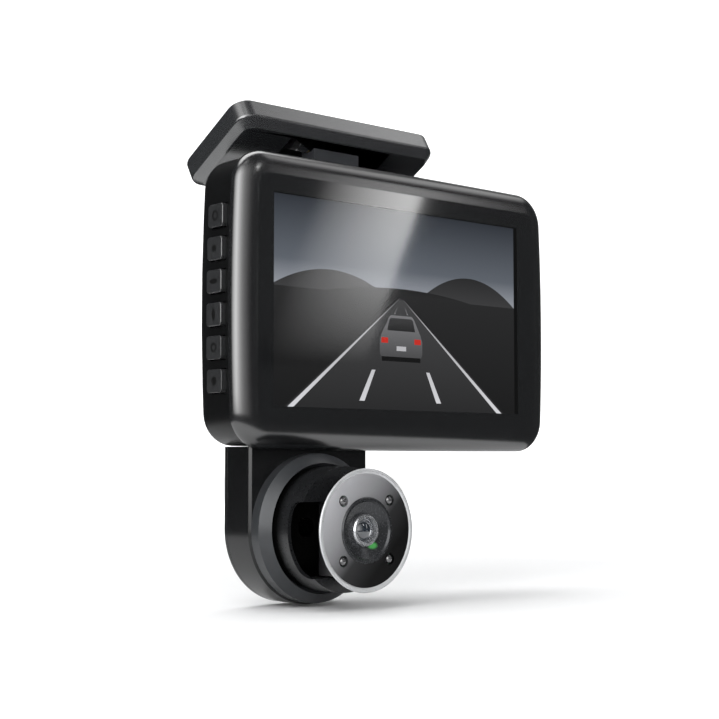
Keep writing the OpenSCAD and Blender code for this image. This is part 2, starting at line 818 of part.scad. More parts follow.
// Flat cable from the main board down to the swivel, as an outline in depth and height
module ribbon_cable() {
    ribbon_w = 8;
    ribbon_t = 0.3;
    route = [
        [board_back_y + 0.2, -19], [board_back_y + 0.2, -25], [9.2, -27.4], [9.2, -40],
        [8.2, -43]
    ];
    color("orange") in_unit() translate([drop_x + ribbon_w / 2, 0, 0]) rotate([90, 0, -90])
        linear_extrude(ribbon_w) polygon(concat(
            [for (p = route) [-p[0] + ribbon_t / 2, p[1]]],
            [for (i = [len(route) - 1:-1:0]) [-route[i][0] - ribbon_t / 2, route[i][1]]]
        ));
}

// ---- Swivel and camera head ----

// The slot across the sleeve's front, with rounded corners at its back
module sleeve_slot() {
    depth = slot_depth_y - sleeve_front_y + 3;
    height = slot_top - slot_bottom;
    translate([drop_x - sleeve_r - 1, slot_depth_y - depth / 2, drop_z + (slot_top + slot_bottom) / 2])
        rotate([90, 0, 90]) linear_extrude(2 * sleeve_r + 2) rounded_rect(depth, height, 1.6);
}

// The rotating sleeve: a hollow drum whose front is cut away at the sides, which leaves an arm
// above and an arm below the camera head
module swivel_sleeve() {
    shoulder_y = 0.9;
    color([0.13, 0.135, 0.145]) in_unit() difference() {
        union() {
            along_depth(drop_x, 0, drop_z) rotate_extrude($fn = 128) polygon([
                [sleeve_bore, sleeve_front_y], [sleeve_r, sleeve_front_y], [sleeve_r, shoulder_y],
                [journal_r, shoulder_y + 0.1], [journal_r, flange_y0], [flange_r, flange_y0],
                [flange_r, flange_y1], [cable_hole_r, flange_y1], [cable_hole_r, flange_y1 - sleeve_floor],
                [sleeve_bore, flange_y1 - sleeve_floor]
            ]);
            intersection() {
                along_depth(drop_x, sleeve_front_y, drop_z)
                    cylinder(r = sleeve_bore + 0.1, h = arm_back_y - sleeve_front_y, $fn = 128);
                union() {
                    box_between(
                        [drop_x - sleeve_r, sleeve_front_y - 1, drop_z + slot_top],
                        [drop_x + sleeve_r, 0, drop_z + sleeve_r]
                    );
                    box_between(
                        [drop_x - sleeve_r, sleeve_front_y - 1, drop_z - sleeve_r],
                        [drop_x + sleeve_r, 0, drop_z + slot_bottom]
                    );
                }
            }
        }
        sleeve_slot();
        translate([drop_x, pivot_y, drop_z + slot_bottom - 2]) cylinder(r = pivot_r, h = 3, $fn = hull_fn);
        translate([drop_x, pivot_y, drop_z + slot_top - 1]) cylinder(r = pivot_r, h = 4, $fn = hull_fn);
    }
}

pin_depth = 1.9;

module pivot_pins() {
    color("silver") in_unit() translate([drop_x, pivot_y, drop_z]) {
        translate([0, 0, slot_bottom - 2]) cylinder(r = pivot_r, h = 2 + pin_depth, $fn = hull_fn);
        translate([0, 0, slot_top - pin_depth]) cylinder(r = pivot_r, h = 3 + pin_depth, $fn = hull_fn);
    }
}

face_back_y = -face_reach + face_t;
led_x = 5.8;
led_z = 5.6;
led_r = 0.95;
lens_ring_r = 6.3;

// The four places of the infrared lamps, around the lens
module at_leds() {
    for (sx = [-1, 1], sz = [-1, 1]) translate([drop_x + sx * led_x, 0, drop_z + sz * led_z]) children();
}

module head_casing() {
    end_gap = 0.3;
    hub_low = slot_bottom + end_gap;
    hub_high = slot_top - end_gap;
    color([0.06, 0.06, 0.065]) in_unit() difference() {
        union() {
            along_depth(drop_x, 0, drop_z) rotate_extrude($fn = 96) polygon([
                [0, face_back_y], [11, face_back_y], [10.9, face_back_y + 0.4], [10.1, face_back_y + 1],
                [7.5, face_back_y + 1.3], [7.5, drum_back_y], [4.8, drum_back_y + 0.8], [4.8, pivot_y],
                [0, pivot_y]
            ]);
            translate([drop_x, pivot_y, drop_z + hub_low]) cylinder(r = hub_r, h = hub_high - hub_low);
        }
        along_depth(drop_x, 0, drop_z) rotate_extrude() polygon([
            [0, face_back_y - 1], [10.4, face_back_y - 1], [10.4, face_back_y + 0.65],
            [6.5, face_back_y + 0.65], [6.5, face_back_y + 2], [0, face_back_y + 2]
        ]);
        along_depth(drop_x, face_back_y, drop_z) cylinder(r = 1.6, h = 14, $fn = hull_fn);
        translate([drop_x, pivot_y, drop_z + hub_low - 1])
            cylinder(r = pivot_r + running_gap, h = 1 + pin_depth, $fn = hull_fn);
        translate([drop_x, pivot_y, drop_z + hub_high - pin_depth])
            cylinder(r = pivot_r + running_gap, h = 1 + pin_depth, $fn = hull_fn);
    }
}

module face_disc() {
    color([0.35, 0.37, 0.4]) in_unit() difference() {
        along_depth(drop_x, -face_reach + 0.2, drop_z)
            cylinder(r = face_r - rim_w, h = face_t - 0.2, $fn = 128);
        along_depth(drop_x, -face_reach - 1, drop_z) cylinder(r = lens_ring_r, h = 4);
        at_leds() along_depth(0, -face_reach - 1, 0) cylinder(r = led_r + 0.15, h = 4, $fn = hull_fn);
    }
}

module face_rim() {
    color("silver") in_unit() along_depth(drop_x, 0, drop_z) rotate_extrude($fn = 128) polygon([
        [face_r - rim_w, -face_reach + 0.2], [face_r - 0.7 * rim_w, -face_reach],
        [face_r - 0.2, -face_reach], [face_r, -face_reach + 0.2], [face_r - 0.6, face_back_y],
        [face_r - rim_w, face_back_y]
    ]);
}

module infrared_board() {
    color("darkgreen") in_unit() along_depth(drop_x, face_back_y, drop_z) difference() {
        cylinder(r = 10.3, h = 0.6);
        translate([0, 0, -1]) cylinder(r = 6.4, h = 3);
    }
}

module infrared_leds() {
    color("white") in_unit() at_leds() {
        dome_y = -face_reach + 0.75;
        along_depth(0, dome_y, 0) cylinder(r = led_r, h = face_back_y - dome_y, $fn = hull_fn);
        translate([0, dome_y, 0]) intersection() {
            sphere(led_r * 0.9, $fn = hull_fn);
            translate([0, -1, 0]) cube([3, 2.1, 3], center = true);
        }
    }
}

lens_barrel_r = 3.1;

// The recessed ring around the cabin lens: a raised lip, a cone inwards and a seat
module cabin_lens_ring() {
    color([0.2, 0.2, 0.22]) in_unit() along_depth(drop_x, 0, drop_z) rotate_extrude($fn = 128) polygon([
        [lens_barrel_r, -face_reach + 1.5], [lens_barrel_r, -face_reach + 1.0],
        [5.4, -face_reach + 0.25], [5.7, -face_reach - 0.1], [6.1, -face_reach - 0.1],
        [lens_ring_r, -face_reach + 0.1], [lens_ring_r, -face_reach + 1.5]
    ]);
}

module cabin_lens_barrel() {
    color([0.3, 0.3, 0.32]) in_unit() along_depth(drop_x, 0, drop_z) rotate_extrude($fn = 96) polygon([
        [0, -face_reach + 2.2], [0, -face_reach + 1.2], [2.2, -face_reach + 1.2],
        [2.4, -face_reach + 0.2], [2.9, -face_reach + 0.2], [lens_barrel_r, -face_reach + 0.5],
        [lens_barrel_r, -face_reach + 2.2]
    ]);
}

module cabin_lens_glass() {
    glass_r = 2.15;
    dome_r = 2.8;
    seat_y = -face_reach + 1.2;
    sink = sqrt(dome_r * dome_r - glass_r * glass_r);
    color("lightskyblue") in_unit() translate([drop_x, seat_y, drop_z]) rotate([90, 0, 0]) intersection() {
        translate([0, 0, -sink]) sphere(dome_r);
        cylinder(r = glass_r, h = 3);
    }
}

module cabin_sensor_board() {
    color("darkgreen") in_unit()
        box_between(
            [drop_x - 4.2, -face_reach + 2.2, drop_z - 4.2],
            [drop_x + 4.2, -face_reach + 2.8, drop_z + 4.2]
        );
}

adhesive_pad();
mount_plate();
hinge_screw();
hinge_nut();
friction_washers();
hinge_foot();
foot_screws();
front_bezel();
cover_glass();
lcd_panel();
backlight_unit();
screen_bracket();
rear_housing();
housing_screws();
main_board();
board_screws();
processor_shield();
heat_spreader();
battery_cell();
speaker();
microphone();
button_board();
dome_switches();
button_1();
button_2();
button_3();
button_4();
button_5();
button_6();
memory_card_socket();
memory_card();
usb_socket();
road_lens_shroud();
road_lens_barrel();
road_lens_glass();
road_sensor_board();
sensor_screws();
drop_front_shell();
drop_back_cover();
drop_screws();
cover_screws();
collar_ring();
retainer_ring();
wave_washer();
ribbon_cable();
swivel_sleeve();
pivot_pins();
head_casing();
face_disc();
face_rim();
infrared_leds();
infrared_board();
cabin_lens_ring();
cabin_lens_barrel();
cabin_lens_glass();
cabin_sensor_board();
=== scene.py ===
import json
import math

import bmesh
import bpy
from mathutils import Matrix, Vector


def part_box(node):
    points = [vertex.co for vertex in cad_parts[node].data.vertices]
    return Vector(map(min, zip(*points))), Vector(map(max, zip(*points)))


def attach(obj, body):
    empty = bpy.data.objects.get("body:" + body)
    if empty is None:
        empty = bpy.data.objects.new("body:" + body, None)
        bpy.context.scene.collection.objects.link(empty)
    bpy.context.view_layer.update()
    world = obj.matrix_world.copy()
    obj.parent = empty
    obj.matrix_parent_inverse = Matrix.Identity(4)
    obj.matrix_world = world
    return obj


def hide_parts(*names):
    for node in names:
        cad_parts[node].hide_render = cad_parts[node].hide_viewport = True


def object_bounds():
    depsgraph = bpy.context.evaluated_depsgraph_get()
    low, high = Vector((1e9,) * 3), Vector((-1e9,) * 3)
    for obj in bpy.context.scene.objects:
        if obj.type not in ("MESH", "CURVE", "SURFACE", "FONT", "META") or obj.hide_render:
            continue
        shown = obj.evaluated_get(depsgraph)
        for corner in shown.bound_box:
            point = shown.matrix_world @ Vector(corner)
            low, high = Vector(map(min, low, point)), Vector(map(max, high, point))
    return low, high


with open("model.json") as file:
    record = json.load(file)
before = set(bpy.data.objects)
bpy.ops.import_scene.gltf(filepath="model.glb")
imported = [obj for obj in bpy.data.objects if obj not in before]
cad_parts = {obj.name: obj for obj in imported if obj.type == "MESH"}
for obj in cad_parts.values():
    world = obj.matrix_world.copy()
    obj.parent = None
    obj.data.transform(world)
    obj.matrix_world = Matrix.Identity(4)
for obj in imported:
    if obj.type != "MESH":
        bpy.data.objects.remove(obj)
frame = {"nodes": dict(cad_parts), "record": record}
CAD_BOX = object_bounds()
NODES = frame["nodes"]
MM = 0.001
# The width of the display's dark edge round its picture area, in mm
PICTURE_MARGIN = 2.0
# Faces that meet at less than this, in degrees, are shaded as one smooth surface
SMOOTH_BELOW = 35

# The unit's own origin is the middle of the front face of its cover glass.
GLASS_LOW, GLASS_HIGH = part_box("cover_glass")
UNIT = Vector(((GLASS_LOW.x + GLASS_HIGH.x) / 2, GLASS_LOW.y, (GLASS_LOW.z + GLASS_HIGH.z) / 2))
BEZEL_LOW, BEZEL_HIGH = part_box("front_bezel")
HEAD_LOW, HEAD_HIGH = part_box("face_rim")
HEAD = Vector(((HEAD_LOW.x + HEAD_HIGH.x) / 2, HEAD_LOW.y, (HEAD_LOW.z + HEAD_HIGH.z) / 2))
LCD_LOW, LCD_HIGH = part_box("lcd_panel")
SLEEVE_BACK_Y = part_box("swivel_sleeve")[1].y
FLOOR_Z = CAD_BOX[0].z


def in_unit(x, y, z):
    """A point in metres in the part's frame, from millimetres in the screen unit's own coordinates."""
    return UNIT + Vector((x, y, z)) * MM


# ---- Camera ----

CAMERA_AZIMUTH = -41.13
CAMERA_ELEVATION = -4.08
CAMERA_FROM_UNIT = (-208.8, -224.0, -32.05)
CAMERA_LENS_MM = 74.1


def make_camera():
    data = bpy.data.cameras.new("camera")
    data.lens = CAMERA_LENS_MM
    data.sensor_width = 36.0
    data.clip_start = 0.01
    data.clip_end = 50.0
    camera = bpy.data.objects.new("camera", data)
    bpy.context.scene.collection.objects.link(camera)
    azimuth, elevation = math.radians(CAMERA_AZIMUTH), math.radians(CAMERA_ELEVATION)
    back = Vector((
        math.sin(azimuth) * math.cos(elevation),
        -math.cos(azimuth) * math.cos(elevation),
        math.sin(elevation),
    ))
    camera.location = in_unit(*CAMERA_FROM_UNIT)
    camera.rotation_mode = "QUATERNION"
    camera.rotation_quaternion = (-back).to_track_quat("-Z", "Y")
    bpy.context.scene.camera = camera


# ---- Materials ----

def shader_of(tree):
    return next(n for n in tree.nodes if n.type == "BSDF_PRINCIPLED")


def new_material(name):
    """A material, its node tree, and its Principled shader."""
    material = bpy.data.materials.new(name)
    material.use_nodes = True
    tree = material.node_tree
    return material, tree, shader_of(tree)


def light_material(name):
    """A material that only gives light, its node tree, and its Emission shader."""
    material = bpy.data.materials.new(name)
    material.use_nodes = True
    tree = material.node_tree
    tree.nodes.clear()
    output = tree.nodes.new("ShaderNodeOutputMaterial")
    emission = tree.nodes.new("ShaderNodeEmission")
    tree.links.new(emission.outputs["Emission"], output.inputs["Surface"])
    return material, tree, emission


def noise_node(tree, scale, detail=3.0, stretch=(1.0, 1.0, 1.0)):
    """Noise over object coordinates, in cells per metre, stretched along the axes."""
    coordinates = tree.nodes.new("ShaderNodeTexCoord")
    mapping = tree.nodes.new("ShaderNodeMapping")
    mapping.inputs["Scale"].default_value = stretch
    noise = tree.nodes.new("ShaderNodeTexNoise")
    noise.inputs["Scale"].default_value = scale
    noise.inputs["Detail"].default_value = detail
    tree.links.new(coordinates.outputs["Object"], mapping.inputs["Vector"])
    tree.links.new(mapping.outputs["Vector"], noise.inputs["Vector"])
    return noise


def link_range(tree, source, low, high, target):
    """Feeds source, mapped from 0.3..0.7 to low..high, into target."""
    mapped = tree.nodes.new("ShaderNodeMapRange")
    mapped.inputs["From Min"].default_value = 0.3
    mapped.inputs["From Max"].default_value = 0.7
    mapped.inputs["To Min"].default_value = low
    mapped.inputs["To Max"].default_value = high
    tree.links.new(source, mapped.inputs["Value"])
    tree.links.new(mapped.outputs["Result"], target)


def link_tint(tree, source, color, spread, target):
    """Feeds a ramp around color, from darker to lighter by spread, into target."""
    ramp = tree.nodes.new("ShaderNodeValToRGB")
    ramp.color_ramp.elements[0].position = 0.3
    ramp.color_ramp.elements[1].position = 0.7
    ramp.color_ramp.elements[0].color = [c * (1 - spread) for c in color] + [1.0]
    ramp.color_ramp.elements[1].color = [min(1.0, c * (1 + spread)) for c in color] + [1.0]
    tree.links.new(source, ramp.inputs["Fac"])
    tree.links.new(ramp.outputs["Color"], target)


def link_bump(tree, shader, source, strength, depth_mm):
    bump = tree.nodes.new("ShaderNodeBump")
    bump.inputs["Strength"].default_value = strength
    bump.inputs["Distance"].default_value = depth_mm * MM
    tree.links.new(source, bump.inputs["Height"])
    tree.links.new(bump.outputs["Normal"], shader.inputs["Normal"])


def surface(name, color, roughness, spread=0.12, rough_spread=0.04, grain=2500.0, bump=0.0,
            stretch=(1.0, 1.0, 1.0), metallic=0.0, ior=1.5, coat=0.0):
    """A moulded or metal surface with fine grain in its colour, gloss and relief."""
    material, tree, shader = new_material(name)
    broad = noise_node(tree, grain / 12, stretch=stretch)
    fine = noise_node(tree, grain, stretch=stretch)
    link_tint(tree, broad.outputs["Fac"], color, spread, shader.inputs["Base Color"])
    link_range(
        tree, fine.outputs["Fac"], max(0.02, roughness - rough_spread), roughness + rough_spread,
        shader.inputs["Roughness"],
    )
    if bump:
        link_bump(tree, shader, fine.outputs["Fac"], bump, 0.02)
    shader.inputs["Metallic"].default_value = metallic
    shader.inputs["IOR"].default_value = ior
    shader.inputs["Coat Weight"].default_value = coat
    shader.inputs["Coat Roughness"].default_value = 0.04
    return material


# The printed mark of each button: how far it reaches along Y and Z in mm, and its inner and outer radius
# as shares of that reach. An inner radius of 0 makes it solid.
BUTTON_MARKS = [
    (1.6, 1.6, 0.2, 0.3), (1.1, 1.1, 0.0, 0.3), (1.6, 0.7, 0.0, 0.36),
    (0.7, 1.6, 0.0, 0.36), (1.4, 1.4, 0.2, 0.32), (1.2, 1.2, 0.0, 0.34),
]

# What each record slot looks like: colour, roughness and the rest of surface()'s settings.
SLOT_LOOKS = {
    "pad_foam": dict(color=(0.05, 0.05, 0.052), roughness=0.8, bump=0.5, grain=1800.0),
    "mount_plastic": dict(
        color=(0.012, 0.013, 0.0145), roughness=0.26, rough_spread=0.01, grain=700.0, ior=2.4,
    ),
    "steel": dict(color=(0.03, 0.03, 0.032), roughness=0.45, metallic=0.6, stretch=(1, 1, 6)),
    "spring_brass": dict(color=(0.75, 0.6, 0.32), roughness=0.3, metallic=1.0),
    "foot_plastic": dict(color=(0.03, 0.032, 0.036), roughness=0.35, bump=0.08),
    "bezel_gloss": dict(color=(0.005, 0.0053, 0.0058), roughness=0.2, rough_spread=0.01, ior=2.0),
    "lcd_glass": dict(color=(0.02, 0.021, 0.024), roughness=0.1),
    "backlight_white": dict(color=(0.8, 0.8, 0.8), roughness=0.5),
    "housing_black": dict(color=(0.003, 0.0031, 0.0034), roughness=0.34, bump=0.03, grain=4000.0, ior=1.33),
    "board_green": dict(color=(0.02, 0.12, 0.06), roughness=0.35, spread=0.3),
    "shield_steel": dict(color=(0.6, 0.61, 0.62), roughness=0.3, metallic=1.0),
    "spreader_aluminium": dict(color=(0.75, 0.76, 0.78), roughness=0.35, metallic=1.0, stretch=(1, 8, 1)),
    "cell_wrap": dict(color=(0.08, 0.2, 0.4), roughness=0.25),
    "speaker_black": dict(color=(0.03, 0.03, 0.03), roughness=0.6, bump=0.2),
    "button_black": dict(color=(0.016, 0.0165, 0.0175), roughness=0.3, rough_spread=0.01, ior=1.8),
    "card_black": dict(color=(0.025, 0.025, 0.028), roughness=0.5),
    "lens_housing": dict(color=(0.012, 0.012, 0.014), roughness=0.45, bump=0.12, grain=4000.0),
    "lens_barrel": dict(color=(0.6, 0.61, 0.63), roughness=0.24, metallic=0.9),
    "lens_glass": dict(color=(0.01, 0.014, 0.02), roughness=0.04, rough_spread=0.01, ior=1.9, coat=1.0),
    "drop_plastic": dict(color=(0.0035, 0.0037, 0.004), roughness=0.22, rough_spread=0.02, ior=1.45),
    "collar_grey": dict(color=(0.032, 0.034, 0.037), roughness=0.32, metallic=0.3),
    "sleeve_plastic": dict(color=(0.008, 0.0084, 0.0092), roughness=0.3, ior=1.5),
    "head_plastic": dict(color=(0.01, 0.01, 0.011), roughness=0.5, bump=0.1),
    "rim_chrome": dict(color=(0.45, 0.455, 0.465), roughness=0.3, metallic=0.3, rough_spread=0.03),
    "led_clear": dict(color=(0.03, 0.03, 0.032), roughness=0.14, rough_spread=0.02, ior=1.9, coat=1.0),
    "lens_ring_dark": dict(color=(0.03, 0.0315, 0.034), roughness=0.26, metallic=0.5),
    "flex_dark": dict(color=(0.01, 0.009, 0.008), roughness=0.5),
}


def axis_value(tree, axis, low, high):
    """0..1 along one object axis from low to high, in metres."""
    coordinates = tree.nodes.new("ShaderNodeTexCoord")
    split = tree.nodes.new("ShaderNodeSeparateXYZ")
    tree.links.new(coordinates.outputs["Object"], split.inputs["Vector"])
    mapped = tree.nodes.new("ShaderNodeMapRange")
    mapped.inputs["From Min"].default_value = low
    mapped.inputs["From Max"].default_value = high
    tree.links.new(split.outputs[axis], mapped.inputs["Value"])
    return mapped.outputs["Result"]


def paint_over(tree, shader, share, color):
    """Mixes color over the shader's base colour, as much as share says."""
    tint = tree.nodes.new("ShaderNodeMix")
    tint.data_type = "RGBA"
    tree.links.new(share, tint.inputs["Factor"])
    tree.links.new(shader.inputs["Base Color"].links[0].from_socket, tint.inputs["A"])
    tint.inputs["B"].default_value = color
    tree.links.new(tint.outputs["Result"], shader.inputs["Base Color"])


def combine(tree, first, second, operation="ADD"):
    """The result of a Math node on a socket and a number or another socket."""
    node = tree.nodes.new("ShaderNodeMath")
    node.operation = operation
    tree.links.new(first, node.inputs[0])
    if isinstance(second, float):
        node.inputs[1].default_value = second
    else:
        tree.links.new(second, node.inputs[1])
    return node.outputs["Value"]


def ramp_of(tree, source, stops):
    """A colour ramp over source. stops are (position, grey or colour)."""
    ramp = tree.nodes.new("ShaderNodeValToRGB")
    elements = ramp.color_ramp.elements
    while len(elements) < len(stops):
        elements.new(0.5)
    for element, (position, color) in zip(elements, stops):
        element.position = position
        element.color = (*color, 1.0) if isinstance(color, tuple) else (color, color, color * 1.04, 1.0)
    tree.links.new(source, ramp.inputs["Fac"])
    return ramp.outputs["Color"]


def face_material():
    """Spun metal of the camera's face, with painted highlight and shade in its colour: light at its upper
    left, darkening to its lower right.
    """
    material, tree, shader = new_material("face_grey")
    half = (HEAD_HIGH.x - HEAD_LOW.x) / 2
    across = axis_value(tree, "X", HEAD.x - half, HEAD.x + half)
    down = axis_value(tree, "Z", HEAD.z + half, HEAD.z - half)
    painted_light_diagonal = combine(tree, combine(tree, across, down), 0.5, "MULTIPLY")
    # Painted highlight and shade: the base colour runs from light grey at the upper left to near black at
    # the lower right.
    color = ramp_of(tree, painted_light_diagonal, [(0.12, 0.8), (0.4, 0.34), (0.56, 0.04), (0.72, 0.004)])
    tree.links.new(color, shader.inputs["Base Color"])
    fine = noise_node(tree, 3500.0)
    link_range(tree, fine.outputs["Fac"], 0.34, 0.46, shader.inputs["Roughness"])
    link_bump(tree, shader, fine.outputs["Fac"], 0.05, 0.01)
    shader.inputs["Metallic"].default_value = 0.75
    return material


def sleeve_material():
    """Moulded plastic outside, with painted shade deep inside: near black colour and little shine there."""
    material = surface("sleeve_plastic", **SLOT_LOOKS["sleeve_plastic"])
    tree = material.node_tree
    shader = shader_of(tree)
    # Painted shade: deep inside the sleeve the colour is darkened to near black and the shine lowered,
    # where shade falls.
    depth = axis_value(tree, "Y", SLEEVE_BACK_Y - 9 * MM, SLEEVE_BACK_Y - 7 * MM)
    paint_over(tree, shader, depth, (0.0015, 0.0015, 0.0015, 1.0))
    shine = tree.nodes.new("ShaderNodeMapRange")
    shine.inputs["To Min"].default_value = 0.5
    shine.inputs["To Max"].default_value = 0.03
    tree.links.new(depth, shine.inputs["Value"])
    tree.links.new(shine.outputs["Result"], shader.inputs["Specular IOR Level"])
    return material


def mark_mask(tree, first, second, stops):
    """A ramp over the distance from a point, seen along one axis.

    first and second are (axis, centre in metres, reach in mm). The distance is 0.5 at the reach.
    """
    place_of = tree.nodes.new("ShaderNodeCombineXYZ")
    for (axis, centre, reach), target in ((first, "X"), (second, "Y")):
        value = axis_value(tree, axis, centre - reach * MM, centre + reach * MM)
        tree.links.new(combine(tree, value, -0.5), place_of.inputs[target])
    distance = tree.nodes.new("ShaderNodeVectorMath")
    distance.operation = "LENGTH"
    tree.links.new(place_of.outputs["Vector"], distance.inputs[0])
    return ramp_of(tree, distance.outputs["Value"], stops)


def button_material(number):
    """The cap of one button, with a small dark printed mark: a dot, a ring or a bar."""
    material = surface(f"button_{number}_print", **SLOT_LOOKS["button_black"])
    tree = material.node_tree
    shader = shader_of(tree)
    low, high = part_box(f"button_{number}")
    mid = (low + high) / 2
    reach_y, reach_z, inner, outer = BUTTON_MARKS[number - 1]
    soft = 0.04
    mark = mark_mask(tree, ("Y", mid.y, reach_y), ("Z", mid.z, reach_z), [
        (max(inner - soft, 0.0), 0.0 if inner else 1.0),
        (inner + 0.001, 1.0),
        (outer, 1.0),
        (outer + soft, 0.0),
    ])
    paint_over(tree, shader, mark, (0.001, 0.001, 0.001, 1.0))
    return material


def lens_ring_material():
    """The ring round the cabin lens, with a painted green glint at its lower right that glows by emission.
    """
    material = surface("lens_ring_dark", **SLOT_LOOKS["lens_ring_dark"])
    tree = material.node_tree
    shader = shader_of(tree)
    glint_x, glint_z = HEAD.x + 1.9 * MM, HEAD.z - 2.9 * MM
    # Painted reflection: a small green spot that glows by emission and stands in for a glint of the lens
    # coating.
    painted_glint_spot = mark_mask(tree, ("X", glint_x, 1.3), ("Z", glint_z, 0.8), [(0.0, 1.0), (0.25, 1.0), (0.5, 0.0)])
    shader.inputs["Emission Color"].default_value = (0.05, 0.3, 0.06, 1.0)
    tree.links.new(painted_glint_spot, shader.inputs["Emission Strength"])
    return material


def cover_glass_material():
    """Clear glass over the picture area, and a black print round it."""
    material, tree, shader = new_material("front_glass")
    glass_ior = 2.0
    shader.inputs["IOR"].default_value = glass_ior
    shader.inputs["Base Color"].default_value = (0.005, 0.0053, 0.0058, 1.0)
    smudge = noise_node(tree, 60.0, detail=2.0)
    link_range(tree, smudge.outputs["Fac"], 0.055, 0.06, shader.inputs["Roughness"])
    margin = PICTURE_MARGIN * MM
    edge = 0.0005
    inside = None
    for axis, low, high in (
        ("X", LCD_LOW.x + margin, LCD_HIGH.x - margin),
        ("Z", LCD_LOW.z + margin, LCD_HIGH.z - margin),
    ):
        value = axis_value(tree, axis, low, high)
        for operation, limit in (("GREATER_THAN", edge), ("LESS_THAN", 1.0 - edge)):
            test = combine(tree, value, limit, operation)
            inside = test if inside is None else combine(tree, inside, test, "MULTIPLY")
    opaque = combine(tree, inside, -1.0, "MULTIPLY")
    opaque = combine(tree, opaque, 1.0)
    clear = tree.nodes.new("ShaderNodeBsdfTransparent")
    gloss = tree.nodes.new("ShaderNodeBsdfGlossy")
    gloss.inputs["Roughness"].default_value = 0.05
    fresnel = tree.nodes.new("ShaderNodeFresnel")
    fresnel.inputs["IOR"].default_value = glass_ior
    window = tree.nodes.new("ShaderNodeMixShader")
    tree.links.new(fresnel.outputs["Fac"], window.inputs["Fac"])
    tree.links.new(clear.outputs["BSDF"], window.inputs[1])
    tree.links.new(gloss.outputs["BSDF"], window.inputs[2])
    whole = tree.nodes.new("ShaderNodeMixShader")
    tree.links.new(opaque, whole.inputs["Fac"])
    tree.links.new(window.outputs["Shader"], whole.inputs[1])
    tree.links.new(shader.outputs["BSDF"], whole.inputs[2])
    output = next(n for n in tree.nodes if n.type == "OUTPUT_MATERIAL")
    tree.links.new(whole.outputs["Shader"], output.inputs["Surface"])
    return material


def make_materials():
    made = {name: surface(name, **look) for name, look in SLOT_LOOKS.items()}
    made["face_grey"] = face_material()
    made["front_glass"] = cover_glass_material()
    made["sleeve_plastic"] = sleeve_material()
    made["lens_ring_dark"] = lens_ring_material()
    return made


MATERIALS = make_materials()
NODE_SLOTS = {s["node"]: s["material_slot"] for s in frame["record"]["subparts"]}


def dress_nodes():
    for name, piece in NODES.items():
        piece.data.materials.clear()
        piece.data.materials.append(MATERIALS[NODE_SLOTS[name]])


# ---- Mesh pieces ----

def place(piece, body, replaces=()):
    """Links a piece that is already in place, ties it to its body, and hides the CAD nodes it replaces."""
    if piece.name not in bpy.context.scene.collection.objects:
        bpy.context.scene.collection.objects.link(piece)
    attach(piece, body)
    if replaces:
        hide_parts(*replaces)
    return piece


def mesh_piece(name, mesh, material):
    """An object from a bmesh, smooth except at its sharp edges."""
    data = bpy.data.meshes.new(name)
    bmesh.ops.recalc_face_normals(mesh, faces=mesh.faces[:])
    for face in mesh.faces:
        face.smooth = True
    limit = math.radians(SMOOTH_BELOW)
    for edge in mesh.edges:
        edge.smooth = len(edge.link_faces) == 2 and edge.calc_face_angle() < limit
    mesh.to_mesh(data)
    mesh.free()
    data.materials.append(material)
    return bpy.data.objects.new(name, data)


def refined(node, body, bevel_mm, segments=2, material=None):
    """A copy of a CAD node with its edges broken by a small round, as a moulding or casting has."""
    mesh = bmesh.new()
    mesh.from_mesh(NODES[node].data)
    bmesh.ops.remove_doubles(mesh, verts=mesh.verts[:], dist=0.002 * MM)
    bmesh.ops.dissolve_limit(
        mesh, angle_limit=math.radians(0.8), verts=mesh.verts[:], edges=mesh.edges[:],
    )
    piece = mesh_piece(node + "_skin", mesh, material or MATERIALS[NODE_SLOTS[node]])
    bevel = piece.modifiers.new("edge", "BEVEL")
    bevel.width = bevel_mm * MM
    bevel.segments = segments
    bevel.limit_method = "ANGLE"
    bevel.angle_limit = math.radians(SMOOTH_BELOW)
    bevel.harden_normals = True
    return place(piece, body, (node,))


def rounded_loop(half_w, half_h, radius, bow=(0.0, 0.0), corner_steps=14, side_steps=12):
    """Points of a rounded rectangle, whose sides bow outwards by pulling its corners in."""
    points = []
    corners = [(1, 1, 0), (-1, 1, 90), (-1, -1, 180), (1, -1, 270)]
    for sx, sz, start in corners:
        for step in range(corner_steps + 1):
            angle = math.radians(start + 90 * step / corner_steps)
            points.append((
                sx * (half_w - radius) + radius * math.cos(angle),
                sz * (half_h - radius) + radius * math.sin(angle),
            ))
    full = []
    arc = corner_steps + 1
    for index in range(4):
        full += points[index * arc:(index + 1) * arc]
        a, b = points[(index + 1) * arc - 1], points[((index + 1) * arc) % len(points)]
        full += [
            (a[0] + (b[0] - a[0]) * s / side_steps, a[1] + (b[1] - a[1]) * s / side_steps)
            for s in range(1, side_steps)
        ]
    return [
        (x - x * bow[0] / half_w * (z / half_h) ** 2, z - z * bow[1] / half_h * (x / half_w) ** 2)
        for x, z in full
    ]


def loft(mesh, loops, closed=False):
    """Faces between loops of points of the same length. closed joins the last loop to the first."""
    rings = [[mesh.verts.new(p) for p in loop] for loop in loops]
    pairs = list(zip(rings, rings[1:])) + ([(rings[-1], rings[0])] if closed else [])
    for low, high in pairs:
        for i in range(len(low)):
            j = (i + 1) % len(low)
            mesh.faces.new((low[i], low[j], high[j], high[i]))
    return rings


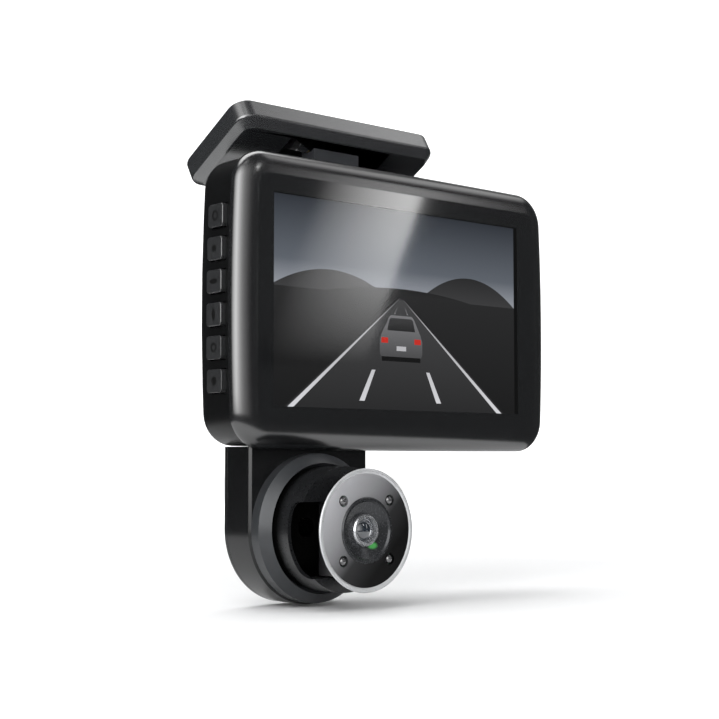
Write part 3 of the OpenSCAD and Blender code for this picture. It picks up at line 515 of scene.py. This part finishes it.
# The bezel's outline and its rolled edge, in millimetres, as the CAD has them
CORNER_R = 6.8
SIDE_BOW, TOP_BOW = 0.9, 0.2
ROLL_W, ROLL_D = 4.7, 2.9
SEAM_Y = 3.2
HALF_W = (BEZEL_HIGH.x - BEZEL_LOW.x) / 2 / MM
HALF_H = (BEZEL_HIGH.z - BEZEL_LOW.z) / 2 / MM
GLASS_HALF_W = (GLASS_HIGH.x - GLASS_LOW.x) / 2 / MM
GLASS_HALF_H = (GLASS_HIGH.z - GLASS_LOW.z) / 2 / MM
GLASS_CORNER = 2.6
GLASS_T = (GLASS_HIGH.y - GLASS_LOW.y) / MM


def outline_ring(inset, y):
    loop = rounded_loop(
        HALF_W - inset, HALF_H - inset, max(CORNER_R - inset, 1.0), (SIDE_BOW, TOP_BOW),
    )
    return [in_unit(x, y, z) for x, z in loop]


def recess_ring(gap, y):
    loop = rounded_loop(GLASS_HALF_W + gap, GLASS_HALF_H + gap, GLASS_CORNER + gap)
    return [in_unit(x, y, z) for x, z in loop]


def make_bezel():
    """The front bezel: a quarter-round roll from the glass to the seam, as one closed ring."""
    mesh = bmesh.new()
    roll_steps = 20
    rings = [recess_ring(-1.0, GLASS_T), recess_ring(0.02, GLASS_T), recess_ring(0.02, 0.0)]
    for step in range(roll_steps + 1):
        angle = math.radians(90 * step / roll_steps)
        inset = ROLL_W * (1 - math.sin(angle))
        if inset < ROLL_W - 0.12:
            rings.append(outline_ring(inset, ROLL_D * (1 - math.cos(angle))))
    rings += [outline_ring(0.0, SEAM_Y), outline_ring(0.9, SEAM_Y), outline_ring(4.0, SEAM_Y)]
    loft(mesh, rings, closed=True)
    bezel = mesh_piece("front_bezel_skin", mesh, MATERIALS["bezel_gloss"])
    return place(bezel, "unit", ("front_bezel",))


# ---- The picture on the screen ----

PICTURE_W = (LCD_HIGH.x - LCD_LOW.x) / MM - 2 * PICTURE_MARGIN
PICTURE_H = (LCD_HIGH.z - LCD_LOW.z) / MM - 2 * PICTURE_MARGIN
PICTURE_X = (LCD_LOW.x + LCD_HIGH.x) / 2
PICTURE_Z = (LCD_LOW.z + LCD_HIGH.z) / 2


def glow(name, stops):
    """Light given off by a part of the picture, as a ramp from the picture's bottom to its top."""
    material, tree, emission = light_material(name)
    value = axis_value(tree, "Z", PICTURE_Z - PICTURE_H / 2 * MM, PICTURE_Z + PICTURE_H / 2 * MM)
    tree.links.new(ramp_of(tree, value, stops), emission.inputs["Color"])
    return material


# The picture is what such a camera would show: a straight road at dusk, with a plain car ahead. It is drawn
# in units of its own, 0 to 100 across and 0 to 60 up. Widths along the road are given at its near edge.
PICTURE_ACROSS, PICTURE_UP = 100, 60
MIDDLE = PICTURE_ACROSS / 2
HORIZON = 34
FAR = 40
ROAD_HALF = 45
LANE_HALF = 17
LINE_W = 2.2
DASH_GAP = 1.1
DASH_LENGTH = 0.45
DASHES = 9
CAR_DEPTH = 1.75
CAR_SCALE = 1.15


def road_point(side, depth):
    """A point of the road. side is its place at the near edge, and depth is its distance, from 1."""
    return (MIDDLE + side / depth, HORIZON * (1 - 1 / depth))


def road_strip(side, width, near, far):
    """A strip painted along the road from one distance to another."""
    left, right = side - width / 2, side + width / 2
    return [road_point(left, near), road_point(right, near), road_point(right, far), road_point(left, far)]


def car_shape(half):
    """A shape on the car ahead, from the points of its right half, bottom to top."""
    foot = road_point(0, CAR_DEPTH)[1]
    whole = half + [(-x, z) for x, z in reversed(half)]
    return [(MIDDLE + CAR_SCALE * x, foot + CAR_SCALE * z) for x, z in whole]


def hill(centre, half_width, height, steps=24):
    """A rounded hill that stands on the horizon."""
    points = []
    for step in range(steps + 1):
        share = -1 + 2 * step / steps
        points.append((centre + half_width * share, HORIZON + height * (1 - share * share)))
    return points


def picture_shapes():
    """The shapes of the picture, as (look, points), from the furthest to the nearest."""
    right, top = PICTURE_ACROSS, PICTURE_UP
    body = [(7.2, 1.2), (7.6, 2.2), (7.6, 5.4), (6.9, 7.2), (5.7, 7.8), (4.6, 11.2), (3.8, 12)]
    shapes = [
        ("sky", [(0, HORIZON), (right, HORIZON), (right, top), (0, top)]),
        ("hill", hill(22, 22, 6)),
        ("hill", hill(79, 21, 8)),
        ("near_hill", hill(50, 30, 2.5)),
        ("verge", [(0, 0), (right, 0), (right, HORIZON), (0, HORIZON)]),
        ("road", road_strip(0, 2 * ROAD_HALF, 1, FAR)),
    ]
    for side in (-ROAD_HALF + LINE_W, ROAD_HALF - LINE_W):
        shapes.append(("paint", road_strip(side, LINE_W, 1, FAR)))
    for side in (-LANE_HALF, LANE_HALF):
        for dash in range(DASHES):
            near = 1.08 + DASH_GAP * dash
            shapes.append(("paint", road_strip(side, LINE_W, near, near + DASH_LENGTH)))
    shapes += [
        ("tyre", car_shape([(6.9, 0), (6.9, 2.5)])),
        ("body", car_shape(body)),
        ("window", car_shape([(5.0, 8), (4.2, 10.9), (3.6, 11.3)])),
        ("lamp", car_shape([(7.1, 4.7), (7.0, 6.1)])),
        ("body", car_shape([(4.7, 4.6), (4.7, 6.2)])),
        ("paint", car_shape([(1.7, 2.8), (1.7, 4.0)])),
    ]
    return shapes


PICTURE_LOOKS = {
    "sky": [(0.56, (0.34, 0.36, 0.4)), (0.7, (0.12, 0.135, 0.16)), (1.0, (0.03, 0.035, 0.045))],
    "hill": [(0.55, 0.05), (0.7, 0.022)],
    "near_hill": [(0.55, 0.024), (0.62, 0.014)],
    "verge": [(0.0, 0.008), (0.56, 0.02)],
    "road": [(0.0, 0.022), (0.56, 0.06)],
    "paint": [(0.0, 0.75), (0.5, 0.4)],
    "tyre": [(0.0, 0.004), (1.0, 0.004)],
    "body": [(0.24, 0.06), (0.46, 0.2)],
    "window": [(0.38, 0.012), (0.46, 0.05)],
    "lamp": [(0.0, (0.6, 0.03, 0.02)), (1.0, (0.6, 0.03, 0.02))],
}


def make_picture():
    """The lit picture, as flat shapes on the display, each a hair in front of the one before."""
    mesh = bmesh.new()
    looks = list(PICTURE_LOOKS)
    layer_step = 0.004
    front_y = (LCD_LOW.y - UNIT.y) / MM

    def to_world(point, layer):
        x = (point[0] / PICTURE_ACROSS - 0.5) * PICTURE_W
        z = (point[1] / PICTURE_UP - 0.5) * PICTURE_H
        y = front_y - 0.01 - layer_step * layer
        return Vector((PICTURE_X + x * MM, UNIT.y + y * MM, PICTURE_Z + z * MM))

    for layer, (look, points) in enumerate(picture_shapes()):
        face = mesh.faces.new([mesh.verts.new(to_world(point, layer)) for point in points])
        face.material_index = looks.index(look)
    data = bpy.data.meshes.new("screen_picture")
    bmesh.ops.triangulate(mesh, faces=mesh.faces[:])
    for face in mesh.faces:
        if face.normal.y > 0:
            face.normal_flip()
    mesh.to_mesh(data)
    mesh.free()
    for look in looks:
        data.materials.append(glow("picture_" + look, PICTURE_LOOKS[look]))
    return place(bpy.data.objects.new("screen_picture", data), "unit")


# ---- Studio ----

def between(stops, value):
    """The straight-line value of stops, which are (place, share), at value."""
    for (low, start), (high, end) in zip(stops, stops[1:]):
        if value <= high:
            return start + (end - start) * max(0.0, value - low) / (high - low)
    return stops[-1][1]


def soft_card(name, radiance, azimuths, elevations, lean=0.0, distance=700.0):
    """A light card bent round the unit, brighter and dimmer as its two lists of stops say.

    Azimuth runs from the road side towards the unit's right, in degrees, and elevation runs upwards.
    lean turns the card's sides, in degrees of azimuth per degree of elevation.
    """
    columns, rows = 48, 20
    mesh = bmesh.new()
    shares = []
    grid = []
    for row in range(rows + 1):
        elevation = elevations[0][0] + (elevations[-1][0] - elevations[0][0]) * row / rows
        line = []
        for column in range(columns + 1):
            azimuth = azimuths[0][0] + (azimuths[-1][0] - azimuths[0][0]) * column / columns
            shares.append(between(azimuths, azimuth) * between(elevations, elevation))
            turn = math.radians(azimuth + lean * (elevation - elevations[0][0]))
            rise = math.radians(elevation)
            line.append(mesh.verts.new(in_unit(
                distance * math.cos(rise) * math.sin(turn),
                distance * math.cos(rise) * math.cos(turn),
                distance * math.sin(rise),
            )))
        grid.append(line)
    for low, high in zip(grid, grid[1:]):
        for i in range(columns):
            mesh.faces.new((low[i], low[i + 1], high[i + 1], high[i]))
    data = bpy.data.meshes.new(name)
    mesh.to_mesh(data)
    mesh.free()
    data.attributes.new("share", "FLOAT", "POINT").data.foreach_set("value", shares)
    material, tree, emission = light_material(name)
    attribute = tree.nodes.new("ShaderNodeAttribute")
    attribute.attribute_name = "share"
    strength = combine(tree, attribute.outputs["Fac"], radiance, "MULTIPLY")
    tree.links.new(strength, emission.inputs["Strength"])
    data.materials.append(material)
    card = bpy.data.objects.new(name, data)
    bpy.context.scene.collection.objects.link(card)
    card.visible_camera = False
    card.visible_shadow = False


def make_lights():
    soft_card(
        "left_card", 6.0,
        [
            (165, 0.0), (179, 0.04), (201, 0.2), (215, 0.4),
            (241, 1.0), (256, 0.72), (270, 0.4), (284, 0.0),
        ],
        [(-6, 1.0), (34, 0.9), (60, 0.0)],
    )
    soft_card(
        "top_card", 1.7, [(75, 0.0), (92, 1.0), (118, 1.0), (128, 0.0)],
        [(34, 0.0), (44, 1.0), (66, 0.4)],
    )
    soft_card(
        "corner_card", 5.0, [(200, 0.0), (214, 1.0), (232, 1.0), (246, 0.0)],
        [(34, 0.0), (48, 1.0), (70, 0.0)],
    )
    soft_card(
        "key_card", 16.0, [(160, 0.0), (164, 1.0), (176, 1.0), (180, 0.0)],
        [(28, 0.0), (32, 1.0), (44, 0.0)],
    )
    soft_card(
        "sky_card", 4.4, [(-95, 0.0), (-70, 1.0), (70, 1.0), (95, 0.0)],
        [(50, 0.0), (60, 1.0), (89, 1.0)],
    )
    soft_card(
        "back_card", 1.1, [(12, 0.0), (30, 1.0), (62, 1.0), (78, 0.0)],
        [(-4, 1.0), (30, 1.0), (50, 0.0)],
    )
    # Seen in the cover glass as a leaning bright patch, hard at its right edge and faded to its left
    soft_card(
        "window_card", 5.0, [(139.4, 1.0), (141.5, 0.7), (145.5, 0.0)],
        [(3, 0.0), (7, 0.45), (11, 1.0), (32, 1.0)], lean=-0.35,
    )


FLOOR_NEAR, FLOOR_FAR = 0.14, 0.6


def floor_material():
    """A plain pale floor. Far from the object it also gives light, to meet the backdrop."""
    material, tree, shader = new_material("floor_white")
    grain = noise_node(tree, 300.0)
    link_tint(tree, grain.outputs["Fac"], (0.9, 0.905, 0.91), 0.005, shader.inputs["Base Color"])
    shader.inputs["Roughness"].default_value = 0.9
    shader.inputs["Specular IOR Level"].default_value = 0.1
    shader.inputs["Emission Color"].default_value = (1.0, 1.0, 1.0, 1.0)
    coordinates = tree.nodes.new("ShaderNodeTexCoord")
    distance = tree.nodes.new("ShaderNodeVectorMath")
    distance.operation = "LENGTH"
    tree.links.new(coordinates.outputs["Object"], distance.inputs[0])
    mapped = tree.nodes.new("ShaderNodeMapRange")
    mapped.inputs["From Min"].default_value = FLOOR_NEAR
    mapped.inputs["From Max"].default_value = FLOOR_FAR
    mapped.inputs["To Min"].default_value = 0.0
    mapped.inputs["To Max"].default_value = 1.0
    tree.links.new(distance.outputs["Value"], mapped.inputs["Value"])
    tree.links.new(mapped.outputs["Result"], shader.inputs["Emission Strength"])
    return material


def backdrop_material():
    material, tree, shader = new_material("backdrop_white")
    grain = noise_node(tree, 3.0)
    link_tint(tree, grain.outputs["Fac"], (0.9, 0.9, 0.9), 0.005, shader.inputs["Base Color"])
    shader.inputs["Emission Color"].default_value = (1.0, 1.0, 1.0, 1.0)
    shader.inputs["Emission Strength"].default_value = 1.0
    return material


def floor_ring(name, material, radii):
    """A flat ring of the floor, or a disc when its first radius is 0."""
    mesh = bmesh.new()
    sides = 96
    turns = [math.tau * i / sides for i in range(sides)]
    loops = [
        [(radius * math.cos(turn), radius * math.sin(turn), 0.0) for turn in turns]
        for radius in radii if radius
    ]
    rings = loft(mesh, loops)
    if not radii[0]:
        mesh.faces.new(rings[0])
    floor = mesh_piece(name, mesh, material)
    floor.location.z = FLOOR_Z - 0.4 * MM
    bpy.context.scene.collection.objects.link(floor)
    return floor


def make_stage():
    reach, near = 3.0, 0.11
    material = floor_material()
    floor_ring("floor_near", material, (0.0, 0.05, near))
    far = floor_ring("floor_far", material, (near, 0.5, 1.0, reach))
    far.visible_glossy = False

    dome_mesh = bmesh.new()
    bmesh.ops.create_uvsphere(dome_mesh, u_segments=64, v_segments=32, radius=reach * 1.01)
    dome = mesh_piece("backdrop", dome_mesh, backdrop_material())
    bpy.context.scene.collection.objects.link(dome)
    dome.visible_diffuse = False
    dome.visible_glossy = False
    dome.visible_transmission = False
    dome.visible_shadow = False


def make_world():
    world = bpy.data.worlds.new("studio")
    bpy.context.scene.world = world
    world.use_nodes = True
    background = world.node_tree.nodes["Background"]
    background.inputs["Color"].default_value = (0.96, 0.985, 1.0, 1.0)
    background.inputs["Strength"].default_value = 0.07


def set_colour_management():
    view = bpy.context.scene.view_settings
    view.view_transform = "Standard"
    view.look = "None"


make_camera()
dress_nodes()
make_bezel()
make_picture()
for node, body, bevel_mm in (
    ("mount_plate", "mount", 0.35),
    ("rear_housing", "unit", 0.12),
    ("drop_front_shell", "unit", 0.08),
    ("drop_back_cover", "unit", 0.08),
    ("hinge_foot", "unit", 0.15),
):
    refined(node, body, bevel_mm)
for number in range(1, 7):
    name = f"button_{number}"
    refined(name, name, 0.5, segments=4, material=button_material(number))
make_stage()
make_world()
make_lights()
set_colour_management()
